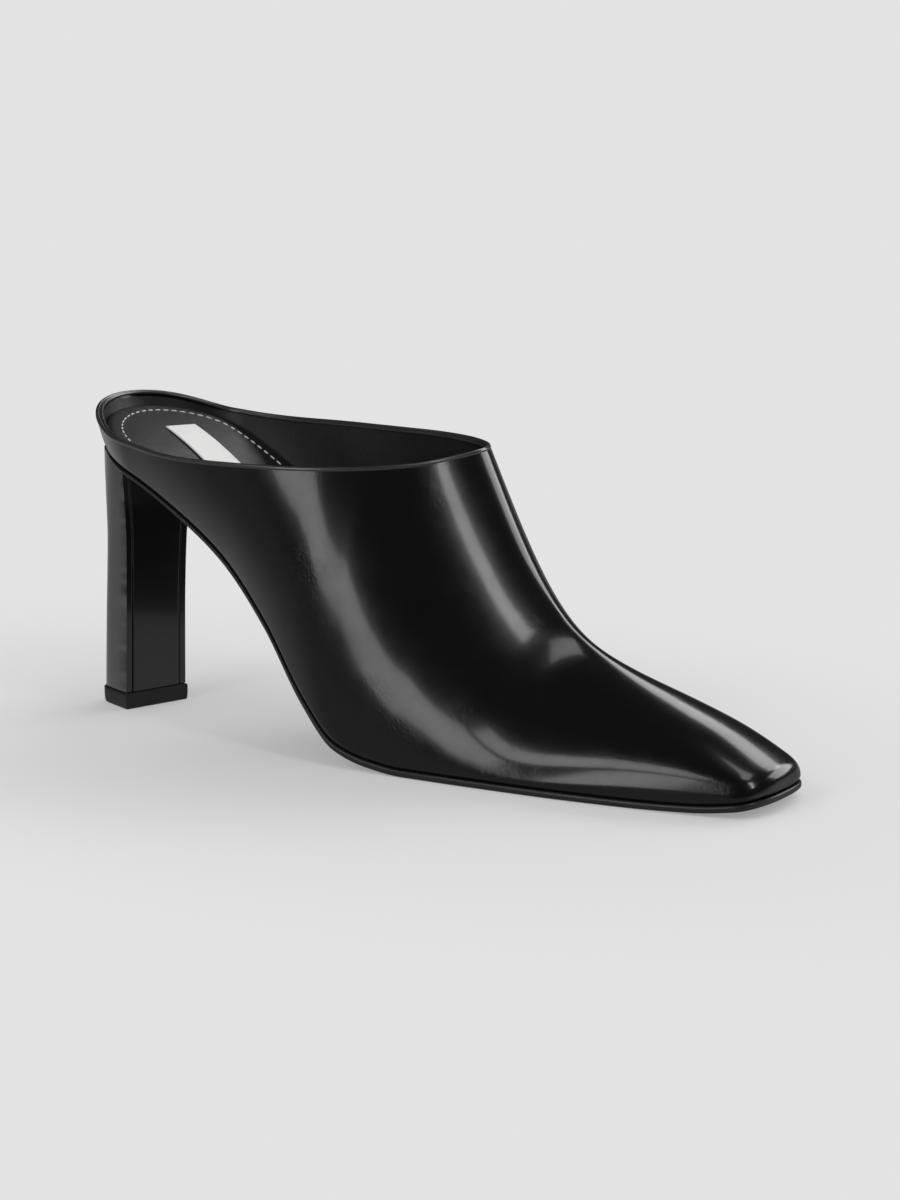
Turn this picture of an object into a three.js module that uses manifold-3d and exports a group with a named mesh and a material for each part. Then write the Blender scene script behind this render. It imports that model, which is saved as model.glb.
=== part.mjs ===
// A high-heeled mule for the right foot: a closed square-toed vamp whose topline runs back
// round the heel seat as a low rim, on a slim covered heel.
// Millimetres. X runs from the back of the seat to the toe, Y to the wearer's left, Z up.
// The sole's tread and the heel's lift stand on z = 0.

import * as THREE from 'three';
import { LoftGeometry } from 'three/addons/geometries/LoftGeometry.js';
import { mergeVertices } from 'three/addons/utils/BufferGeometryUtils.js';
import Module from 'manifold-3d';

const wasm = await Module();
wasm.setup();

// ---- driving dimensions -------------------------------------------------------------

const LENGTH = 240; // horizontal, back of the seat to the toe
const GAP = 0.3; // between neighbouring pieces
const WALL = 1.8; // leather and lining together
const EDGE = 0.2; // how far the outsole stands out past the upper
const SEAT_ROUND = 24; // length of the rounded back of the seat
const TOE_CORNER = 8; // length of the rounded corners of the square toe
const TOE_SQUARENESS = 2.6; // exponent of those corners: 2 would be an ellipse
const TOE_EDGE = 3; // radius of the front face's upper edge
const FLARE = 4.7; // the back rim leans out this far ...
const FLARE_HEIGHT = 24; // ... at this height over its feather edge
const FLARE_START = 90; // the flare begins this far forward and grows to ...
const FLARE_FULL = 30; // ... its whole size here
const BELOW = 6; // how far the cavity runs on below the feather edge
const CLEAR = 170; // how far the other cutting shapes reach past the shoe
const CUT_STEP = 4; // spacing of a cutting shape's corners along the shoe
const ARC_STEPS = 12; // segments from a feather edge to the ridge ...
const STEP_GROWTH = 1.35; // ... shorter near the feather edge
const BACK_STEPS = 9;
const FRONT_STEPS = 6;

const SEAT_SLOPE = 0.35; // of the seat's underside, at the back
const LIFT_HEIGHT = 5.2;
const LIFT_OVERHANG = 0.5;
const LIFT_BEVEL = 0.4; // along the lift's bottom edge
const HEEL_STEPS = 9; // segments on each half of a heel section

// The last, a row for each section from back to toe.
//   x       distance from the back of the seat
//   centre  middle of the feather outline, left or right of the axis
//   half    half the feather outline's width
//   rise    height of the sole's underside
//   sole    thickness of the outsole
//   sock    thickness of the insole: board, padding and sock
//   top     height of the ridge; behind the topline it only steers the side walls
//   lean    how far the ridge stands left of the outline's middle
//   side    height of the side wall's fullness, as a share of the section's height
//   crown   flatness of the ridge, as a share of the half width
//   bulge   how far the side wall swells past the feather edge
const last = [
  { x: 0, centre: 0, half: 26, rise: 86, sole: 1.2, sock: 7.2, top: 170, lean: 0, side: 0.5, crown: 0.5, bulge: 0.5 },
  { x: 24, centre: 0, half: 28, rise: 77.5, sole: 1.2, sock: 7.2, top: 162, lean: 0, side: 0.5, crown: 0.5, bulge: 0.5 },
  { x: 42, centre: 0, half: 28.4, rise: 68, sole: 1.4, sock: 7, top: 157, lean: 0, side: 0.55, crown: 0.55, bulge: 3 },
  { x: 60, centre: -0.3, half: 29, rise: 56, sole: 1.7, sock: 6.4, top: 153, lean: 0, side: 0.6, crown: 0.6, bulge: 5.5 },
  { x: 78, centre: -1.5, half: 30.5, rise: 38, sole: 2, sock: 5.4, top: 149, lean: 3.6, side: 0.58, crown: 0.56, bulge: 5.5 },
  { x: 94, centre: -2.2, half: 32.5, rise: 16.5, sole: 2.2, sock: 4.4, top: 143, lean: 7.4, side: 0.53, crown: 0.48, bulge: 5 },
  { x: 106, centre: -1.6, half: 34, rise: 4.8, sole: 2.2, sock: 3.7, top: 133, lean: 9.4, side: 0.49, crown: 0.42, bulge: 4.5 },
  { x: 118, centre: 0, half: 34.8, rise: 1.2, sole: 2.2, sock: 3.2, top: 116, lean: 9.8, side: 0.45, crown: 0.35, bulge: 4.2 },
  { x: 129, centre: 1.3, half: 35.2, rise: 0, sole: 2.2, sock: 3, top: 92.5, lean: 9, side: 0.41, crown: 0.29, bulge: 4 },
  { x: 140, centre: 2, half: 35, rise: 0, sole: 2.2, sock: 3, top: 71, lean: 7.4, side: 0.35, crown: 0.25, bulge: 3.8 },
  { x: 152, centre: 2.6, half: 34.4, rise: 0, sole: 2.2, sock: 3, top: 52, lean: 5.8, side: 0.3, crown: 0.22, bulge: 3.5 },
  { x: 165, centre: 3, half: 33.3, rise: 0, sole: 2.2, sock: 3, top: 39.5, lean: 4.8, side: 0.28, crown: 0.2, bulge: 3.3 },
  { x: 182, centre: 2.6, half: 30.6, rise: 0, sole: 2.2, sock: 3, top: 32, lean: 3.4, side: 0.36, crown: 0.34, bulge: 3.3 },
  { x: 200, centre: 1.9, half: 26.6, rise: 0, sole: 2.2, sock: 3, top: 26.8, lean: 2, side: 0.46, crown: 0.5, bulge: 3 },
  { x: 220, centre: 1.2, half: 21.7, rise: 0.5, sole: 2.2, sock: 3, top: 20.7, lean: 0.6, side: 0.58, crown: 0.6, bulge: 1.6 },
  { x: 232, centre: 0.4, half: 18.1, rise: 1.8, sole: 2.2, sock: 3, top: 15.4, lean: 0, side: 0.62, crown: 0.65, bulge: 0.8 },
  { x: LENGTH, centre: -0.4, half: 15.2, rise: 3.4, sole: 2.2, sock: 3, top: 11.6, lean: 0, side: 0.64, crown: 0.65, bulge: 0 },
];

// The topline, a row for each place along the shoe.
//   z     its height over the axis
//   tilt  how much higher it stands for each millimetre to the left
const topline = [
  { x: -12, z: 100.8, tilt: 0 },
  { x: 0, z: 97, tilt: 0 },
  { x: 20, z: 90.4, tilt: 0.01 },
  { x: 45, z: 88.5, tilt: 0.04 },
  { x: 70, z: 89.1, tilt: 0.055 },
  { x: 95, z: 89.5, tilt: 0.06 },
  { x: 118, z: 89.8, tilt: 0.052 },
  { x: 132, z: 91.8, tilt: 0.04 },
  { x: 160, z: 98, tilt: 0.04 },
];

// The heel, a row for each section from the lift up into the seat.
//   breast  front face's distance from the back of the seat
//   depth   front to back
//   half    half the width
//   side    middle of the breast, left or right of the axis
//   turn    degrees that the breast faces outwards
//   square  exponent of the rear corners
const heel = [
  { z: LIFT_HEIGHT + GAP, breast: 14.5, depth: 14.9, half: 11, side: -6.8, turn: -19, square: 9 },
  { z: 30, breast: 15.1, depth: 14.2, half: 11, side: -6.6, turn: -18, square: 9 },
  { z: 54, breast: 15.8, depth: 13.4, half: 11.4, side: -6.2, turn: -17, square: 8 },
  { z: 64, breast: 16.2, depth: 13.5, half: 12.6, side: -5.6, turn: -16, square: 6.5 },
  { z: 72, breast: 17, depth: 14, half: 14.8, side: -4.8, turn: -13, square: 4.5 },
  { z: 80, breast: 17.8, depth: 14.8, half: 17.8, side: -3.4, turn: -10, square: 3.4 },
  { z: 92, breast: 18.4, depth: 15.6, half: 20.6, side: -2, turn: -6, square: 2.8 },
];

// ---- helpers ------------------------------------------------------------------------

// A smooth curve through one column of a table that never overshoots its rows.
function through(rows, column, key = 'x') {
  const at = rows.map((row) => row[key]);
  const value = rows.map((row) => row[column]);
  const chord = value.slice(1).map((v, i) => (v - value[i]) / (at[i + 1] - at[i]));
  const slope = value.map((_, i) => {
    if (i === 0) return chord[0];
    if (i === chord.length) return chord[i - 1];
    const product = chord[i - 1] * chord[i];
    return product > 0 ? (2 * product) / (chord[i - 1] + chord[i]) : 0;
  });
  return (t) => {
    const inside = Math.min(Math.max(t, at[0]), at[at.length - 1]);
    const above = at.findIndex((a) => a > inside);
    const i = above < 0 ? chord.length - 1 : above - 1;
    const span = at[i + 1] - at[i];
    const u = (inside - at[i]) / span;
    const rest = 1 - u;
    return value[i] * rest * rest * (1 + 2 * u) + value[i + 1] * u * u * (3 - 2 * u)
      + span * u * rest * (slope[i] * rest - slope[i + 1] * u);
  };
}

function curves(rows, key = 'x') {
  const columns = Object.keys(rows[0]).filter((name) => name !== key);
  return Object.fromEntries(columns.map((name) => [name, through(rows, name, key)]));
}

// A closed solid from a geometry whose faces may repeat their corners.
function solid(geometry) {
  const bare = new THREE.BufferGeometry();
  bare.setAttribute('position', geometry.attributes.position);
  bare.setIndex(geometry.index);
  const merged = mergeVertices(bare, 1e-4);
  const corners = merged.index.array;
  const faces = [];
  for (let i = 0; i < corners.length; i += 3) {
    const [a, b, c] = corners.slice(i, i + 3);
    if (a !== b && b !== c && c !== a) {
      faces.push(a, b, c);
    }
  }
  return new wasm.Manifold(new wasm.Mesh({
    numProp: 3,
    vertProperties: new Float32Array(merged.attributes.position.array),
    triVerts: new Uint32Array(faces),
  }));
}

function geometryOf(body) {
  const mesh = body.getMesh();
  const geometry = new THREE.BufferGeometry();
  geometry.setAttribute('position', new THREE.BufferAttribute(mesh.vertProperties, 3));
  geometry.setIndex(new THREE.BufferAttribute(mesh.triVerts, 1));
  return geometry;
}

// A solid skinned over rings; each end is closed by a fan from its middle.
function loft(rings) {
  const closed = (ring) => {
    const centre = new THREE.Vector3();
    ring.forEach((point) => centre.addScaledVector(point, 1 / ring.length));
    return ring.map(() => centre);
  };
  return solid(new LoftGeometry([closed(rings[0]), ...rings, closed(rings[rings.length - 1])]));
}

// ---- the last -----------------------------------------------------------------------

const shape = curves(last);
const rim = curves(topline);

// Stations along the shoe. Each has a distance from the back, the share of the table's
// width that the rounded seat or toe leaves there, and the outline's direction there: how
// far a step outwards goes along the shoe, and how far across it.
function stations() {
  const list = [];
  for (let i = 0; i <= BACK_STEPS; i += 1) {
    const angle = (i / BACK_STEPS) * (Math.PI / 2);
    list.push({ x: SEAT_ROUND * (1 - Math.cos(angle)), narrow: Math.sin(angle), ahead: -Math.cos(angle) });
  }
  const straight = last.filter((row) => row.x >= SEAT_ROUND && row.x <= LENGTH - TOE_CORNER);
  straight.slice(1).forEach((row, i) => {
    list.push({ x: (straight[i].x + row.x) / 2, narrow: 1, ahead: 0 });
    list.push({ x: row.x, narrow: 1, ahead: 0 });
  });
  for (let i = FRONT_STEPS - 1; i >= 0; i -= 1) {
    const angle = (i / FRONT_STEPS) * (Math.PI / 2);
    const ahead = Math.cos(angle) ** (2 / TOE_SQUARENESS);
    const narrow = Math.sin(angle) ** (2 / TOE_SQUARENESS);
    list.push({ x: LENGTH - TOE_CORNER * (1 - ahead), narrow, ahead });
  }
  return list;
}

// A station's place and half width when the whole outline is drawn in by inset. The first
// and last stations have no width, so each loft closes there on a line.
const placeAlong = (station, inset) => station.x - inset * station.ahead;
const halfWidth = (station, inset) => (shape.half(station.x) - inset) * station.narrow;

const featherHeight = (x) => shape.rise(x) + shape.sole(x) + GAP;

// One section of the upper's surface, from the left feather edge over the ridge to the
// right one, drawn in by inset.
function section(station, inset) {
  const { x } = station;
  const half = halfWidth(station, inset);
  const feather = featherHeight(x);
  const slope = shape.top(x + 1) - shape.top(x - 1);
  const overEdge = Math.max(x - (LENGTH - TOE_EDGE), 0);
  const drop = TOE_EDGE - Math.sqrt(TOE_EDGE ** 2 - Math.min(overEdge, TOE_EDGE) ** 2);
  const top = shape.top(x) - inset * Math.hypot(1, slope / 2) - drop;
  const height = top - feather;
  const ends = Math.min(x / 10, (LENGTH - x) / 8, 1);
  const profile = new THREE.CubicBezierCurve(
    new THREE.Vector2(half, 0),
    new THREE.Vector2(half + shape.bulge(x) * ends, shape.side(x) * height),
    new THREE.Vector2(shape.crown(x) * half, height),
    new THREE.Vector2(0, height),
  );
  const grow = 1 - THREE.MathUtils.smoothstep(x, FLARE_FULL, FLARE_START);
  const place = (share, side) => {
    const point = profile.getPoint(share);
    const part = Math.min(point.y / FLARE_HEIGHT, 1);
    const flare = FLARE * grow * part * (2 - part);
    const middle = shape.centre(x) + (shape.lean(x) * point.y) / height;
    const width = point.x + flare * station.narrow;
    const along = placeAlong(station, inset) + flare * station.ahead;
    return new THREE.Vector3(along, middle + side * width, feather + point.y);
  };
  const points = [];
  for (let i = 0; i < 2 * ARC_STEPS; i += 1) {
    const side = i < ARC_STEPS ? 1 : -1;
    const step = i < ARC_STEPS ? i / ARC_STEPS : 2 - i / ARC_STEPS;
    const share = step ** STEP_GROWTH;
    points.push(place(share, side));
  }
  points.push(place(0, -1));
  return points;
}

// A flat section between two heights, as wide as the feather outline drawn in by inset.
function slab(station, inset, low, high) {
  const x = placeAlong(station, inset);
  const middle = shape.centre(station.x);
  const half = halfWidth(station, inset);
  return [
    new THREE.Vector3(x, middle + half, low),
    new THREE.Vector3(x, middle + half, high),
    new THREE.Vector3(x, middle - half, high),
    new THREE.Vector3(x, middle - half, low),
  ];
}

// ---- the pieces ---------------------------------------------------------------------

const skeleton = stations();

// The space inside the upper when its surface is drawn in by inset, run on through the
// feather edge.
function cavity(inset) {
  return loft(skeleton.map((station) => {
    const ring = section(station, inset);
    const below = featherHeight(station.x) - BELOW;
    const first = ring[0];
    const end = ring[ring.length - 1];
    return [new THREE.Vector3(first.x, first.y, below), ...ring, new THREE.Vector3(end.x, end.y, below)];
  }));
}

// Everything over the topline.
function aboveTheTopline() {
  const rings = [];
  for (let x = topline[0].x; x <= topline[topline.length - 1].x; x += CUT_STEP) {
    const left = rim.z(x) + CLEAR * rim.tilt(x);
    const right = rim.z(x) - CLEAR * rim.tilt(x);
    const corners = [[CLEAR, left], [CLEAR, 2 * CLEAR], [-CLEAR, 2 * CLEAR], [-CLEAR, right]];
    rings.push(corners.map(([y, z]) => new THREE.Vector3(x, y, z)));
  }
  return loft(rings);
}

function upper() {
  const outside = loft(skeleton.map((station) => section(station, 0)));
  return outside.subtract(cavity(WALL)).subtract(aboveTheTopline());
}

function outsole() {
  return loft(skeleton.map((station) => {
    const low = shape.rise(station.x);
    return slab(station, -EDGE, low, low + shape.sole(station.x));
  }));
}

function insole() {
  const board = loft(skeleton.map((station) => {
    const low = featherHeight(station.x);
    return slab(station, WALL + GAP, low, low + shape.sock(station.x));
  }));
  return board.intersect(cavity(WALL + GAP));
}

const block = curves(heel, 'z');

// One level section of the heel: a straight breast and a rear that is squarer lower down.
function heelRing(z, grow) {
  const turn = THREE.MathUtils.degToRad(block.turn(z));
  const points = [];
  for (let i = 0; i <= 2 * HEEL_STEPS; i += 1) {
    const angle = (i / (2 * HEEL_STEPS)) * Math.PI;
    const power = 2 / block.square(z);
    const back = -(block.depth(z) + 2 * grow) * Math.sin(angle) ** power + grow;
    const across = (block.half(z) + grow) * Math.sign(Math.cos(angle)) * Math.abs(Math.cos(angle)) ** power;
    points.push(new THREE.Vector3(
      block.breast(z) + back * Math.cos(turn) - across * Math.sin(turn),
      block.side(z) + back * Math.sin(turn) + across * Math.cos(turn),
      z,
    ));
  }
  return points;
}

// The space from the sole's underside upwards, over the whole seat.
function aboveTheSeat() {
  const rings = [];
  for (let x = -2 * CUT_STEP; x <= 2 * SEAT_ROUND; x += CUT_STEP) {
    const low = shape.rise(x) - GAP + Math.max(-x, 0) * SEAT_SLOPE;
    const corners = [[CLEAR, low], [CLEAR, CLEAR], [-CLEAR, CLEAR], [-CLEAR, low]];
    rings.push(corners.map(([y, z]) => new THREE.Vector3(x, y, z)));
  }
  return loft(rings);
}

function heelBlock() {
  const rings = [heelRing(heel[0].z, 0)];
  heel.slice(1).forEach((row, i) => {
    rings.push(heelRing((heel[i].z + row.z) / 2, 0), heelRing(row.z, 0));
  });
  return loft(rings).subtract(aboveTheSeat());
}

function lift() {
  const ring = (z, grow) => heelRing(heel[0].z, grow).map((point) => new THREE.Vector3(point.x, point.y, z));
  return loft([
    ring(0, LIFT_OVERHANG - LIFT_BEVEL),
    ring(LIFT_BEVEL, LIFT_OVERHANG),
    ring(LIFT_HEIGHT, LIFT_OVERHANG),
  ]);
}

// ---- the shoe -----------------------------------------------------------------------

const leather = { color: 0x0b0b0c, roughness: 0.18, metalness: 0 };
const rubber = { color: 0x141414, roughness: 0.7, metalness: 0 };

const pieces = [
  { name: 'upper', body: upper(), finish: leather },
  { name: 'insole', body: insole(), finish: { color: 0x121212, roughness: 0.5, metalness: 0 } },
  { name: 'outsole', body: outsole(), finish: { color: 0x101010, roughness: 0.45, metalness: 0 } },
  { name: 'heel', body: heelBlock(), finish: leather },
  { name: 'heel_lift', body: lift(), finish: rubber },
];

const shoe = new THREE.Group();
for (const piece of pieces) {
  const mesh = new THREE.Mesh(geometryOf(piece.body), new THREE.MeshStandardMaterial(piece.finish));
  mesh.name = piece.name;
  shoe.add(mesh);
}

// The origin is on the floor under the middle of the shoe.
const box = new THREE.Box3().setFromObject(shoe);
const middle = box.getCenter(new THREE.Vector3());
shoe.position.set(-middle.x, -middle.y, 0);
shoe.updateMatrixWorld(true);

export default shoe;
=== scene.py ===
# %% [markdown]
# # A square-toed, high-heeled mule in polished black leather
#
# The shoe is a vamp that closes over the forefoot and runs back as a low rim round the heel
# seat, an insole with a stitched sock and a blank label, a thin outsole, and a slim covered
# heel on a rubber lift. The CAD part gives the frame: sizes, places and the material slots.
# Everything that shows is made again here, finer, on the same last.
#
# A shoe is built round a *last*, so this lesson starts from one: a table of sections from the
# back of the seat to the toe. Every leather piece is then laid on that last at its own depth.
# Lengths are in millimetres until they reach Blender.

# %% Load the frame
import math

import bpy
import numpy as np
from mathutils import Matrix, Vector


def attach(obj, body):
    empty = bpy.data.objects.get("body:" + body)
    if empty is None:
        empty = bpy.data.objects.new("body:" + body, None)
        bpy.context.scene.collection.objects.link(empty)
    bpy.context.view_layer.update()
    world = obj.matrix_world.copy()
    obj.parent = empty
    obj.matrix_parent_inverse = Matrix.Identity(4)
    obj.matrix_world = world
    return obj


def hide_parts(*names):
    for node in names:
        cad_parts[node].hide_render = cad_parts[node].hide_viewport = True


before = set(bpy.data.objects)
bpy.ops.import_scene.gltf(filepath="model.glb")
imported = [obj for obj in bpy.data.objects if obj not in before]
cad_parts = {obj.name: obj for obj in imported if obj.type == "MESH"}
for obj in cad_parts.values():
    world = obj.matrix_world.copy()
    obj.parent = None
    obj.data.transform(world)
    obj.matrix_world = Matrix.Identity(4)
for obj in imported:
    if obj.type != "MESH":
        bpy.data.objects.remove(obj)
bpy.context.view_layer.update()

# %% [markdown]
# ## The last
#
# On the real shoe a wooden or plastic last sets every curve. It could be sculpted, subdivided
# from a coarse cage, or skinned over sections. Sections are the shoemaker's own way of drawing
# it: each row says how wide and how high the shoe is at one distance from the back, and smooth
# curves that never overshoot join the rows. Glossy leather shows every sudden change of bend as
# a kink in its reflections, so the curves are then averaged over a few millimetres.

# %% Driving sizes, in millimetres
LENGTH = 240
SEAT_ROUND = 24
TOE_CORNER = 8
TOE_SQUARENESS = 2.6
TOE_EDGE = 3
FLARE = 4.7
FLARE_HEIGHT = 24
FLARE_START = 90
FLARE_FULL = 30
GAP = 0.3
EDGE = 0.2
SEAT_SLOPE = 0.35
LIFT_HEIGHT = 5.2
LEATHER = 0.9
INNER_FACE = 1.8

LAST_COLUMNS = "x centre half rise sole sock top lean side crown bulge".split()
LAST_ROWS = [
    [0, 0, 26, 86, 1.2, 7.2, 170, 0, 0.5, 0.5, 0.5],
    [24, 0, 28, 77.5, 1.2, 7.2, 162, 0, 0.5, 0.5, 0.5],
    [42, 0, 28.4, 68, 1.4, 7, 157, 0, 0.55, 0.55, 3],
    [60, -0.3, 29, 56, 1.7, 6.4, 153, 0, 0.6, 0.6, 5.5],
    [78, -1.5, 30.5, 38, 2, 5.4, 149, 3.6, 0.58, 0.56, 5.5],
    [94, -2.2, 32.5, 16.5, 2.2, 4.4, 143, 7.4, 0.53, 0.48, 5],
    [106, -1.6, 34, 4.8, 2.2, 3.7, 133, 9.4, 0.49, 0.42, 4.5],
    [118, 0, 34.8, 1.2, 2.2, 3.2, 116, 9.8, 0.45, 0.35, 4.2],
    [129, 1.3, 35.2, 0, 2.2, 3, 92.5, 9, 0.41, 0.29, 4],
    [140, 2, 35, 0, 2.2, 3, 71, 7.4, 0.35, 0.25, 3.8],
    [152, 2.6, 34.4, 0, 2.2, 3, 52, 5.8, 0.3, 0.22, 3.5],
    [165, 3, 33.3, 0, 2.2, 3, 39.5, 4.8, 0.28, 0.2, 3.3],
    [182, 2.6, 30.6, 0, 2.2, 3, 32, 3.4, 0.36, 0.34, 3.3],
    [200, 1.9, 26.6, 0, 2.2, 3, 26.8, 2, 0.46, 0.5, 3],
    [220, 1.2, 21.7, 0.5, 2.2, 3, 20.7, 0.6, 0.58, 0.6, 1.6],
    [232, 0.4, 18.1, 1.8, 2.2, 3, 15.4, 0, 0.62, 0.65, 0.8],
    [240, -0.4, 15.2, 3.4, 2.2, 3, 11.6, 0, 0.64, 0.65, 0],
]
RIM_COLUMNS = "x z tilt".split()
RIM_ROWS = [
    [-12, 100.8, 0], [0, 97, 0], [20, 90.4, 0.01], [45, 88.5, 0.04], [70, 89.1, 0.055],
    [95, 89.5, 0.06], [118, 89.8, 0.052], [132, 91.8, 0.04], [160, 98, 0.04],
]
HEEL_COLUMNS = "z breast depth half side turn square".split()
HEEL_ROWS = [
    [5.5, 14.5, 14.9, 11, -6.8, -19, 9],
    [30, 15.1, 14.2, 11, -6.6, -18, 9],
    [54, 15.8, 13.4, 11.4, -6.2, -17, 8],
    [64, 16.2, 13.5, 12.6, -5.6, -16, 6.5],
    [72, 17, 14, 14.8, -4.8, -13, 4.5],
    [80, 17.8, 14.8, 17.8, -3.4, -10, 3.4],
    [92, 18.4, 15.6, 20.6, -2, -6, 2.8],
]


# %% Smooth curves through the columns of a table
def curve_through(at, value):
    """A smooth curve through rows that never overshoots them."""
    at, value = np.array(at, float), np.array(value, float)
    chord = np.diff(value) / np.diff(at)
    slope = np.concatenate([chord[:1], np.zeros(len(chord) - 1), chord[-1:]])
    product, total = chord[:-1] * chord[1:], chord[:-1] + chord[1:]
    same_way = product > 0
    slope[1:-1] = np.where(same_way, 2 * product / np.where(same_way, total, 1), 0)

    def curve(t):
        t = np.clip(t, at[0], at[-1])
        i = np.clip(np.searchsorted(at, t, side="right") - 1, 0, len(chord) - 1)
        span = at[i + 1] - at[i]
        u = (t - at[i]) / span
        rest = 1 - u
        ends = value[i] * rest**2 * (1 + 2 * u) + value[i + 1] * u**2 * (3 - 2 * u)
        return ends + span * u * rest * (slope[i] * rest - slope[i + 1] * u)

    return curve


SOFTEN = 8
SOFTEN_STEPS = [(-1, 1 / 9), (-0.5, 2 / 9), (0, 3 / 9), (0.5, 2 / 9), (1, 1 / 9)]


def softened(curve, first, last):
    """The same curve averaged over a short stretch, so its bends run on into one another."""
    def value(x):
        x = np.asarray(x, float)
        reach = np.clip(np.minimum(x - first, last - x), 0, SOFTEN)
        return sum(weight * curve(x + step * reach) for step, weight in SOFTEN_STEPS)

    return value


def curves(columns, rows):
    """A curve for each column of a table, by its name; the first column is the place of each row."""
    table = list(zip(*rows))
    return {name: curve_through(table[0], table[i]) for i, name in enumerate(columns) if i}


last = curves(LAST_COLUMNS, LAST_ROWS)
for soft_name in "centre half top lean side crown bulge".split():
    last[soft_name] = softened(last[soft_name], 0, LENGTH)
rim = curves(RIM_COLUMNS, RIM_ROWS)
block = curves(HEEL_COLUMNS, HEEL_ROWS)
print("ball width, mm:", round(2 * float(last["half"](129)), 1))


# %% The outline of the sole, walked once round the shoe
def outline_at(x):
    """The share of the full width that the rounded seat and toe leave, and the outline's lean ahead."""
    back = np.clip(1 - x / SEAT_ROUND, 0, 1)
    front = np.clip((x - LENGTH + TOE_CORNER) / TOE_CORNER, 0, 1)
    narrow = np.sqrt(1 - back**2) * (1 - front**TOE_SQUARENESS) ** (1 / TOE_SQUARENESS)
    return narrow, front - back


def rim_height(x, y):
    """The topline's height: it stands higher on the inner side."""
    return rim["z"](x) + rim["tilt"](x) * y


def feather_height(x):
    """Where the upper starts, just over the sole."""
    return last["rise"](x) + last["sole"](x) + GAP


def walk():
    """Distances along one side's feather edge, and the places along the shoe where they fall."""
    turn = np.linspace(0, math.pi / 2, 400)
    back = SEAT_ROUND * (1 - np.cos(turn))
    front = LENGTH - TOE_CORNER * (1 - np.cos(turn[::-1]) ** (2 / TOE_SQUARENESS))
    x = np.concatenate([back, np.linspace(SEAT_ROUND, LENGTH - TOE_CORNER, 1200)[1:-1], front])
    y = last["centre"](x) + last["half"](x) * outline_at(x)[0]
    steps = np.sqrt(np.diff(x) ** 2 + np.diff(y) ** 2 + np.diff(feather_height(x)) ** 2)
    gone = np.concatenate([[0], np.cumsum(steps)])
    return gone / gone[-1], x


WALK, PLACES = walk()


def place_and_side(around):
    """From the back of the seat along the outer side to the toe (0.5) and back along the inner side (1)."""
    around = np.mod(around, 1)
    return np.interp(1 - np.abs(2 * around - 1), WALK, PLACES), np.where(around < 0.5, -1.0, 1.0)


# %% One point of the last
TUCK = 0.7
TUCK_HEIGHT = 1.6


def wall(x, share, inset):
    """A section's width and height over its feather edge, at a share of the way up to the ridge."""
    narrow, ahead = outline_at(x)
    half = (last["half"](x) - inset) * narrow
    slope = last["top"](x + 1) - last["top"](x - 1)
    over = np.clip(x - LENGTH + TOE_EDGE, 0, TOE_EDGE)
    drop = TOE_EDGE - np.sqrt(TOE_EDGE**2 - over**2)
    height = last["top"](x) - inset * np.hypot(1, slope / 2) - drop - feather_height(x)
    ends = np.clip(np.minimum(x / 10, (LENGTH - x) / 8), 0, 1)
    rest = 1 - share
    first, second, third = rest**3, 3 * share * rest**2, 3 * share**2 * rest
    width = first * half + second * (half + last["bulge"](x) * ends) + third * last["crown"](x) * half
    up = second * last["side"](x) * height + (third + share**3) * height
    return width, up, height


def on_last(around, share, inset=0.0, tuck=0.0):
    """The point of the last at a place round the shoe and a share of the way up, drawn in by inset."""
    x, side = place_and_side(around)
    narrow, ahead = outline_at(x)
    width, up, height = wall(x, share, inset)
    grow = np.clip((FLARE_START - x) / (FLARE_START - FLARE_FULL), 0, 1)
    part = np.minimum(up / FLARE_HEIGHT, 1)
    flare = FLARE * grow**2 * (3 - 2 * grow) * part * (2 - part)
    flare = flare - tuck * np.clip(1 - up / TUCK_HEIGHT, 0, 1) ** 2
    y = last["centre"](x) + last["lean"](x) * up / height + side * (width + flare * narrow)
    return np.stack([x + (flare - inset) * ahead, y, feather_height(x) + up], -1)


def facing(around, share):
    """The direction in which the last's surface faces."""
    step = 1e-4
    along = on_last(around + step, share) - on_last(around - step, share)
    above = on_last(around, np.minimum(share + step, 1)) - on_last(around, share - step)
    direction = np.cross(along, above)
    return direction / np.linalg.norm(direction, axis=-1, keepdims=True)


# %% The part's origin: the CAD is centred on its box, the last starts at the back of the seat
ORIGIN = np.array([118.503, 1.102, 0])
print("toe, in the part's frame, mm:", (on_last(0.5, 0.0) - ORIGIN).round(1))

# %% [markdown]
# ## Ways of making the meshes
#
# Leather is a sheet, so most pieces start as Blender's own grid primitive: its two directions
# become "round the shoe" and "up the wall", and each corner of the grid is laid on the last.
# The seams of the grid are then welded, the topline is cut with the bisect tool, and the sheet
# gets its thickness from a Solidify modifier. Sculpting would lose the measured shape, and a
# subdivided cage would round off the square toe.


# %% A grid whose corners are laid where a function says
def laid_grid(name, columns, rows, place):
    bpy.ops.object.select_all(action="DESELECT")
    bpy.ops.mesh.primitive_grid_add(x_subdivisions=columns, y_subdivisions=rows, size=2)
    piece = bpy.context.active_object
    piece.name = piece.data.name = name
    flat = np.empty(len(piece.data.vertices) * 3)
    piece.data.vertices.foreach_get("co", flat)
    across, up = (flat.reshape(-1, 3)[:, :2].T + 1) / 2
    set_corners(piece, place(across.round(6), up.round(6)) - ORIGIN)
    weld(piece, 0.004)
    return piece


def corners_of(piece):
    flat = np.empty(len(piece.data.vertices) * 3)
    piece.data.vertices.foreach_get("co", flat)
    return flat.reshape(-1, 3) * 1000


def set_corners(piece, millimetres):
    piece.data.vertices.foreach_set("co", (millimetres / 1000).astype(np.float32).ravel())
    piece.data.update()


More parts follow.
